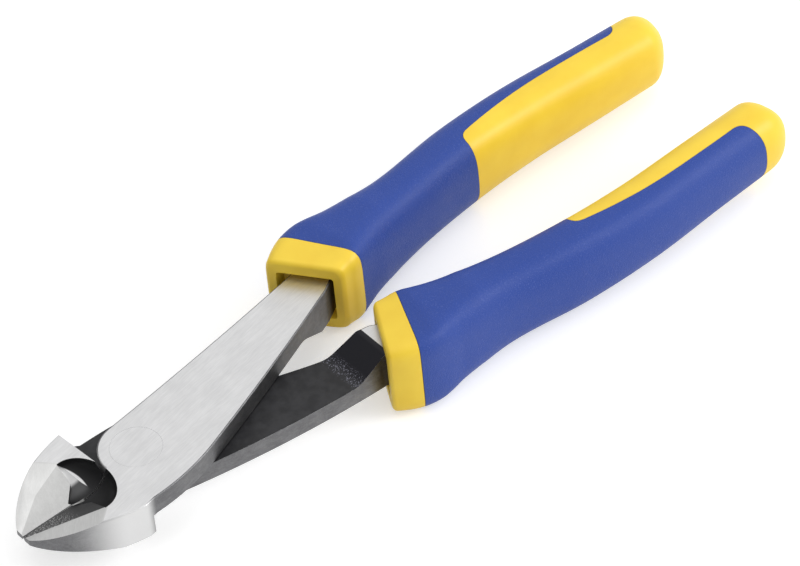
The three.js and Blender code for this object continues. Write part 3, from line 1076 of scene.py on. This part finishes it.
@dataclass
class Rivet:
    """Countersunk rivet, ground flush with both levers."""

    radius: float = 4.5
    head_flare: float = 1.3
    head_depth: float = 1.3
    thickness: float = THICKNESS
    sides: int = 96
    edge_break: float = 0.03
    sharp_angle: float = 40.0

    def form(self, clearance: float) -> Form:
        """The rivet, or the hole for it.

        Args:
            clearance: how far the hole is outside the rivet.

        Returns:
            The rivet's form.
        """
        top = self.thickness / 2.0
        end, neck = top + clearance, top - self.head_depth
        shank = self.radius + clearance
        head = shank + self.head_flare
        corners = [(head, -end), (head, -top), (shank, -neck), (shank, neck), (head, top), (head, end)]
        shape = bmesh.new()
        profile = [shape.verts.new((radius, 0.0, height)) for radius, height in dict.fromkeys(corners)]
        edges = [shape.edges.new(pair) for pair in zip(profile, profile[1:])]
        bmesh.ops.spin(shape, geom=[*profile, *edges], axis=(0.0, 0.0, 1.0), cent=(0.0, 0.0, 0.0),
                       angle=2.0 * math.pi, steps=self.sides, use_merge=True)
        bmesh.ops.holes_fill(shape, edges=shape.edges[:])
        return Form(shape)

    def build(self, slots: Sequence[bpy.types.Material]) -> bpy.types.Object:
        """Make the rivet.

        Args:
            slots: its materials.

        Returns:
            The finished piece.
        """
        form = self.form(0.0)
        form.broken_edges(self.edge_break, self.sharp_angle, Skin.FACE)
        piece = form.painted(Skin.FACE).piece("flush_rivet", Half.LOWER, slots)
        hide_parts("pivot_rivet")
        return piece


@dataclass
class Grip:
    """A handle's grip: a hard core with a collar, panel and cap, and a soft cover round it."""

    half: Half
    collar_slant: float
    cover_slant: float
    collar_length: float
    line: GripLine = field(default_factory=GripLine)
    tang: Tang = field(default_factory=Tang)
    slant_reach: float = 40.0
    skin_inset: float = 0.2
    front_setback: float = 0.7
    front_round: float = 0.9
    front_rings: int = 6
    body_rings: int = 120
    sides: int = 144
    curve_step: float = 0.3
    dome_root: float = 6.5
    dome_length: float = 6.74
    dome_slant: float = 0.2
    dome_rings: int = 12
    mouth_side_wall: float = 2.5
    mouth_top_wall: float = 3.3
    mouth_depth: float = 4.0
    mouth_corner: float = 0.8
    cover_thickness: float = 2.2
    seam: float = 0.08
    panel_start: float = 51.5
    panel_corner: float = 2.4
    panel_line: Tuple[float, float] = (-1.2, 1.2)
    panel_bow: float = 1.0
    panel_steps: int = 48
    cap_length: float = 11.7
    cover_end_slant: float = 23.0
    tang_clearance: float = 0.3
    half_thickness: float = THICKNESS / 2.0

    def lean(self, at: float) -> float:
        """How much further back a section lies for each millimetre outwards."""
        return -self.collar_slant * max(0.0, 1.0 - at / self.slant_reach)

    def rings(self, inset: float) -> List[Tuple[float, float, float, float]]:
        """Places of the loft's rings, from the rounded front to the point of the dome.

        Args:
            inset: how far the form is drawn in.

        Returns:
            For each ring its place, inset, shrink and slant.
        """
        dome = self.line.length - inset - self.dome_root
        body_start = self.front_setback + self.front_round
        rings = []
        for i in range(self.front_rings):
            turn = math.pi / 2.0 * i / self.front_rings
            at = self.front_setback + self.front_round * (1.0 - math.cos(turn))
            rings.append((at, inset + self.front_round * (1.0 - math.sin(turn)), 1.0, self.lean(at)))
        for i in range(self.body_rings + 1):
            at = body_start + (dome - body_start) * i / self.body_rings
            rings.append((at, inset, 1.0, self.lean(at)))
        for i in range(1, self.dome_rings + 1):
            turn = math.pi / 2.0 * i / self.dome_rings
            rise = math.sin(turn)
            rings.append((dome + rise * self.dome_length, inset, math.cos(turn), rise * self.dome_slant))
        return rings

    def outside(self, inset: float) -> Form:
        """The grip's outer form, or the same form drawn in.

        Args:
            inset: how far the form is drawn in.

        Returns:
            The closed loft as it lies in the upper half.
        """
        rings = self.rings(inset)
        shape = bmesh.new()
        bmesh.ops.create_grid(shape, x_segments=len(rings) - 1, y_segments=self.sides, size=0.5)
        for vert in shape.verts:
            at, drawn_in, shrink, slant = rings[round((vert.co.x + 0.5) * (len(rings) - 1))]
            angle = math.tau * round((vert.co.y + 0.5) * self.sides) / self.sides
            section = self.line.section(at)
            wide = section.half_width - drawn_in
            high = min(section.half_height, self.line.rest_half_height) - drawn_in
            cosine, sine = math.cos(angle), math.sin(angle)
            power = section.squareness
            reach = ((abs(cosine) / wide) ** power + (abs(sine) / high) ** power) ** (-1.0 / power) * shrink
            sideways = reach * cosine
            spot = self.line.beside(at + slant * sideways, sideways)
            vert.co = (spot.x, spot.y, reach * sine)
        bmesh.ops.remove_doubles(shape, verts=shape.verts[:], dist=MERGE_DISTANCE)
        bmesh.ops.holes_fill(shape, edges=shape.edges[:])
        return Form(shape)

    def cover_plan(self, grow: float) -> List[Vector]:
        """Plan of what the cover takes of the grip.

        Args:
            grow: how far the plan is grown, where the core makes room for the cover.

        Returns:
            The outline's points.
        """
        front, panel = self.collar_length - grow, self.panel_start + grow
        cover_end = self.line.length - self.cap_length
        end, corner = cover_end + grow, self.panel_corner
        slant = math.tan(math.radians(self.cover_end_slant))
        beside = self.line.beside

        def edge(distance: float) -> float:
            """Offset of the panel's upper edge from the centre line."""
            share = (distance - self.panel_start) / (cover_end - self.panel_start)
            low, high = self.panel_line
            return low + (high - low) * share + 4.0 * self.panel_bow * share * (1.0 - share) - grow

        lean = BESIDE * self.cover_slant
        pen = Pen(*beside(front + lean, -BESIDE), self.curve_step)
        pen.line(beside(panel, -BESIDE), beside(panel, edge(panel) - corner))
        pen.curve(beside(panel, edge(panel)), beside(panel + corner, edge(panel + corner)))
        for i in range(1, self.panel_steps + 1):
            distance = panel + corner + (end - panel - 2.0 * corner) * i / self.panel_steps
            pen.line(beside(distance, edge(distance)))
        pen.curve(beside(end, edge(end)), beside(end + corner * slant, edge(end) + corner))
        pen.line(beside(end + BESIDE * slant, BESIDE), beside(front - lean, BESIDE))
        return pen.points

    def region(self, grow: float) -> Form:
        """What the cover takes up, through the whole height of the grip."""
        return Form.prism(self.cover_plan(grow), -BESIDE, BESIDE)

    def tang_slot(self) -> Form:
        """Slot in the core for the tang."""
        reach = self.half_thickness + self.tang_clearance
        outer = self.tang.edge(self.line, 1, self.tang_clearance)
        inner = self.tang.edge(self.line, -1, self.tang_clearance)[::-1]
        return Form.prism([*outer, *inner], -reach, reach)

    def mouth(self) -> Form:
        """Recess in the collar's front, wider than the tang, with round corners.

        Returns:
            The recess's form.
        """
        section = self.line.section(0.0)
        wide = section.half_width - self.mouth_side_wall - self.mouth_corner
        high = section.half_height - self.mouth_top_wall - self.mouth_corner
        points = []
        for i, (x, y) in enumerate([(wide, high), (-wide, high), (-wide, -high), (wide, -high)]):
            arc = Pen(0.0, 0.0, self.curve_step)
            arc.arc(self.mouth_corner, i * math.pi / 2.0, (i + 1) * math.pi / 2.0)
            points.extend(point + Vector((x, y)) for point in arc.points[1:])
        along = Vector((1.0, self.line.slope(0.0), 0.0)).normalized()
        side = Vector((along.y, -along.x, 0.0)) + along * self.collar_slant
        turn = Matrix((side, Vector((0.0, 0.0, -1.0)), along)).transposed().to_4x4()
        centre = self.line.beside(0.0, 0.0).to_3d()
        form = Form.prism(points, -self.mouth_depth, self.mouth_depth)
        return form.moved(Matrix.Translation(centre) @ turn)

    def build(self, hard: bpy.types.Material, soft: bpy.types.Material) -> List[bpy.types.Object]:
        """Mould the core and the cover.

        Args:
            hard: material of the core.
            soft: material of the cover.

        Returns:
            The two finished pieces.
        """
        skin, half = self.skin_inset, self.half
        shell = self.region(self.seam).joined(self.outside(self.cover_thickness + self.seam), Join.CUT)
        core = self.outside(skin).joined(shell, Join.CUT)
        core = core.joined(self.tang_slot(), Join.CUT).joined(self.mouth(), Join.CUT)
        cover = self.outside(skin).joined(self.region(0.0), Join.KEEP)
        cover = cover.joined(self.outside(self.cover_thickness), Join.CUT)
        parts = ((core, "core", hard, "yellow_core"), (cover, "cover", soft, "blue_cover"))
        pieces = []
        for form, part, material, slot in parts:
            piece = form.moved(half.turn).piece(f"{half.word}_moulded_{part}", half, [material])
            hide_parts(f"{half.word}_grip_{part}")
            pieces.append(piece)
        return pieces


@dataclass(frozen=True)
class Softbox:
    """A large soft lamp, aimed at the middle of the tool."""

    name: str
    azimuth: float
    elevation: float
    distance: float
    size: float
    power: float

    def hang(self, aim: Vector) -> None:
        """Hang the lamp and turn it to the aim.

        Args:
            aim: the point that it faces.
        """
        lamp = bpy.data.lights.new(self.name, "AREA")
        lamp.shape = "DISK"
        lamp.size = self.size
        lamp.energy = self.power
        away = facing(self.azimuth, self.elevation)
        holder = bpy.data.objects.new(self.name, lamp)
        holder.location = aim + away * self.distance
        holder.rotation_mode = "QUATERNION"
        holder.rotation_quaternion = away.to_track_quat("Z", "Y")
        bpy.context.scene.collection.objects.link(holder)


def facing(azimuth: float, elevation: float) -> Vector:
    """Direction from the tool to a place round it.

    Args:
        azimuth: angle about Z in degrees, 0 towards -Y and 90 towards +X.
        elevation: angle above the floor in degrees.

    Returns:
        The unit direction.
    """
    a, e = math.radians(azimuth), math.radians(elevation)
    return Vector((math.sin(a) * math.cos(e), -math.cos(a) * math.cos(e), math.sin(e)))


@dataclass
class Studio:
    """Pale floor, soft light that is stronger from the handles' side, and the camera."""

    floor_half_size: float = 4.0
    floor_colour: float = 0.8
    floor_lift: float = 0.42
    world_axis: Tuple[float, float, float] = (0.62, -0.1, 0.78)
    world_low: float = 0.16
    world_high: float = 0.93
    world_span: Tuple[float, float] = (-0.7, 0.8)
    lamps: Tuple[Softbox, ...] = (
        Softbox("overhead", 180.0, 84.0, 1.2, 1.0, 1.2),
        Softbox("key", 42.0, 30.0, 1.3, 0.7, 7.0),
    )
    aim: Tuple[float, float, float] = (75.12, 1.56, 0.0)
    camera_azimuth: float = -35.875
    camera_elevation: float = 45.531
    camera_roll: float = -6.148
    camera_distance: float = 1205.35
    focal_pixels: float = 5465.7
    image_width: float = 800.0
    sensor_width: float = 36.0

    def lay_floor(self) -> None:
        """Lay the floor that the tool rests on; its white shows in reflections too."""
        shape = bmesh.new()
        bmesh.ops.create_grid(shape, x_segments=1, y_segments=1, size=self.floor_half_size)
        mesh = bpy.data.meshes.new("studio_floor")
        shape.to_mesh(mesh)
        shape.free()
        material = bpy.data.materials.new("studio_white")
        material.use_nodes = True
        board = Board(material.node_tree)
        rays = board.add("ShaderNodeLightPath", {}, {}).outputs
        seen = Signal(board, rays["Is Camera Ray"]).over(Signal(board, rays["Is Glossy Ray"]))
        seen = seen.over(Signal(board, rays["Is Transmission Ray"]))
        paint = board.add("ShaderNodeBsdfDiffuse", {}, {"Color": (*[self.floor_colour] * 3, 1.0)})
        lift = board.add("ShaderNodeEmission", {}, {"Strength": seen * self.floor_lift})
        both = board.add("ShaderNodeAddShader", {}, {0: paint.outputs[0], 1: lift.outputs[0]})
        board.add("ShaderNodeOutputMaterial", {}, {"Surface": both.outputs[0]})
        mesh.materials.append(material)
        floor = bpy.data.objects.new("studio_floor", mesh)
        bpy.context.scene.collection.objects.link(floor)

    def light(self) -> None:
        """Set the world's soft light and hang the lamps."""
        world = bpy.data.worlds.new("studio")
        world.use_nodes = True
        board = Board(world.node_tree)
        towards = board.add("ShaderNodeTexCoord", {}, {}).outputs["Generated"]
        axis = Vector(self.world_axis).normalized()
        facing_key = board.add("ShaderNodeVectorMath", {"operation": "DOT_PRODUCT"}, {0: towards, 1: axis})
        share = Signal(board, facing_key.outputs["Value"]).ramp(*self.world_span)
        glow = self.world_low + share * (self.world_high - self.world_low)
        camera_ray = Signal(board, board.add("ShaderNodeLightPath", {}, {}).outputs["Is Camera Ray"])
        strength = glow.over(camera_ray)
        white = (1.0, 1.0, 1.0, 1.0)
        background = board.add("ShaderNodeBackground", {}, {"Color": white, "Strength": strength})
        board.add("ShaderNodeOutputWorld", {}, {"Surface": background.outputs[0]})
        bpy.context.scene.world = world
        for lamp in self.lamps:
            lamp.hang(self.aim_point())

    def aim_point(self) -> Vector:
        """The point on the lap plane that the camera looks at, in the frame."""
        return PIVOT + Vector(self.aim) * MILLIMETRE

    def set_camera(self) -> None:
        """Stand the camera at the photograph's place, with its roll and focal length."""
        back = facing(self.camera_azimuth, self.camera_elevation)
        level = (-back).cross(Vector((0.0, 0.0, 1.0))).normalized()
        upright = back.cross(level)
        roll = math.radians(self.camera_roll)
        right = level * math.cos(roll) + upright * math.sin(roll)
        place = Matrix((right, back.cross(right), back)).transposed().to_4x4()
        place.translation = self.aim_point() + back * self.camera_distance * MILLIMETRE
        lens = bpy.data.cameras.new("photograph")
        lens.sensor_fit = "HORIZONTAL"
        lens.sensor_width = self.sensor_width
        lens.lens = self.focal_pixels * self.sensor_width / self.image_width
        camera = bpy.data.objects.new("photograph", lens)
        camera.matrix_world = place
        bpy.context.scene.collection.objects.link(camera)
        bpy.context.scene.camera = camera

    def set_up(self) -> None:
        """Make the whole studio."""
        self.set_camera()
        self.lay_floor()
        self.light()
        bpy.context.scene.view_settings.view_transform = "Standard"


def steel_finishes() -> List[bpy.types.Material]:
    """Finishes of the levers, in the order of Skin.

    Returns:
        The materials.
    """
    finishes = [
        BrushedSteel("brushed_face", light=(0.78, 0.78, 0.785), dark=(0.66, 0.66, 0.665), roughness=0.38,
                     brush_turn=10.0),
        # The walls: ground steel whose dark colours are painted shade, with a painted reflection brighter
        # towards the jaw's heel.
        BrushedSteel("ground_wall_painted_shade", light=(0.22, 0.22, 0.225), dark=(0.12, 0.12, 0.125), roughness=0.45,
                     brush_turn=0.0, brush_length=3.0, painted_reflection=(0.66, 0.66, 0.66)),
        BrushedSteel("ground_bevel", light=(0.55, 0.55, 0.545), dark=(0.47, 0.47, 0.465), roughness=0.36,
                     brush_turn=70.0, brush_length=8.0),
        ScaleAndPaintedShade("forging_scale", dark=(0.014, 0.014, 0.016), light=(0.03, 0.03, 0.033),
                    riser=(0.004, 0.004, 0.009), sand=(0.22, 0.22, 0.27), roughness=0.45,
                    sand_place=48.9, sand_reach=2.1),
        # Pocket scale with painted reflection towards the cutting edge and a painted highlight along one
        # wall.
        PocketScaleAndPaintedLight("pocket_scale_and_painted_light", dark=(0.008, 0.008, 0.009), painted_reflection_grey=(0.07, 0.07, 0.072),
                    painted_highlight_colour=(0.85, 0.85, 0.85), roughness=0.36),
        WornEdge("worn_edge", bare=(0.86, 0.86, 0.86), scale=(0.12, 0.12, 0.125), roughness=0.34),
        # Painted shade on the upper jaw's bevel: darkest towards the pocket through the riser tone, with
        # pale specks near the tip through the sand tone.
        ScaleAndPaintedShade("mottled_bevel_painted_shade", dark=(0.05, 0.05, 0.05), light=(0.2, 0.2, 0.2),
                    riser=(0.04, 0.04, 0.041), sand=(0.6, 0.6, 0.6), roughness=0.45,
                    sand_place=-27.0, sand_reach=8.0),
        BrushedSteel("ground_rim", light=(0.68, 0.68, 0.675), dark=(0.58, 0.58, 0.575), roughness=0.36,
                     brush_turn=50.0, brush_length=8.0),
    ]
    return [finish.material() for finish in finishes]


def main() -> None:
    """Build the studio and the tool, piece by piece."""
    logging.basicConfig(level=logging.INFO, format="%(name)s %(message)s")
    Studio().set_up()
    steel = steel_finishes()
    rivet = Rivet()
    rivet.build(steel)
    upper = Forging(Half.UPPER, heel_lean=-6.5, shoulder=14.3, outer_bow=-0.4, inner_bow=-0.4)
    lower = Forging(Half.LOWER, heel_lean=4.0, shoulder=12.9, outer_bow=1.4, inner_bow=2.2,
                    rim_swell=(23.5, 5.4, 3.45))
    Lever(upper).build(rivet, steel, "ground_steel")
    Lever(lower).build(rivet, steel, "forged_steel")
    hard = SatinPlastic("satin_yellow", (0.93, 0.66, 0.05), (0.88, 0.6, 0.04), 0.42).material()
    soft = GrainedRubber("grained_blue", (0.018, 0.058, 0.31), (0.11, 0.16, 0.46), 0.47,
                         grain=0.24).material()
    Grip(Half.UPPER, collar_slant=0.22, cover_slant=0.29, collar_length=10.0).build(hard, soft)
    Grip(Half.LOWER, collar_slant=0.11, cover_slant=0.2, collar_length=9.4).build(hard, soft)


if __name__ == "__main__":
    main()
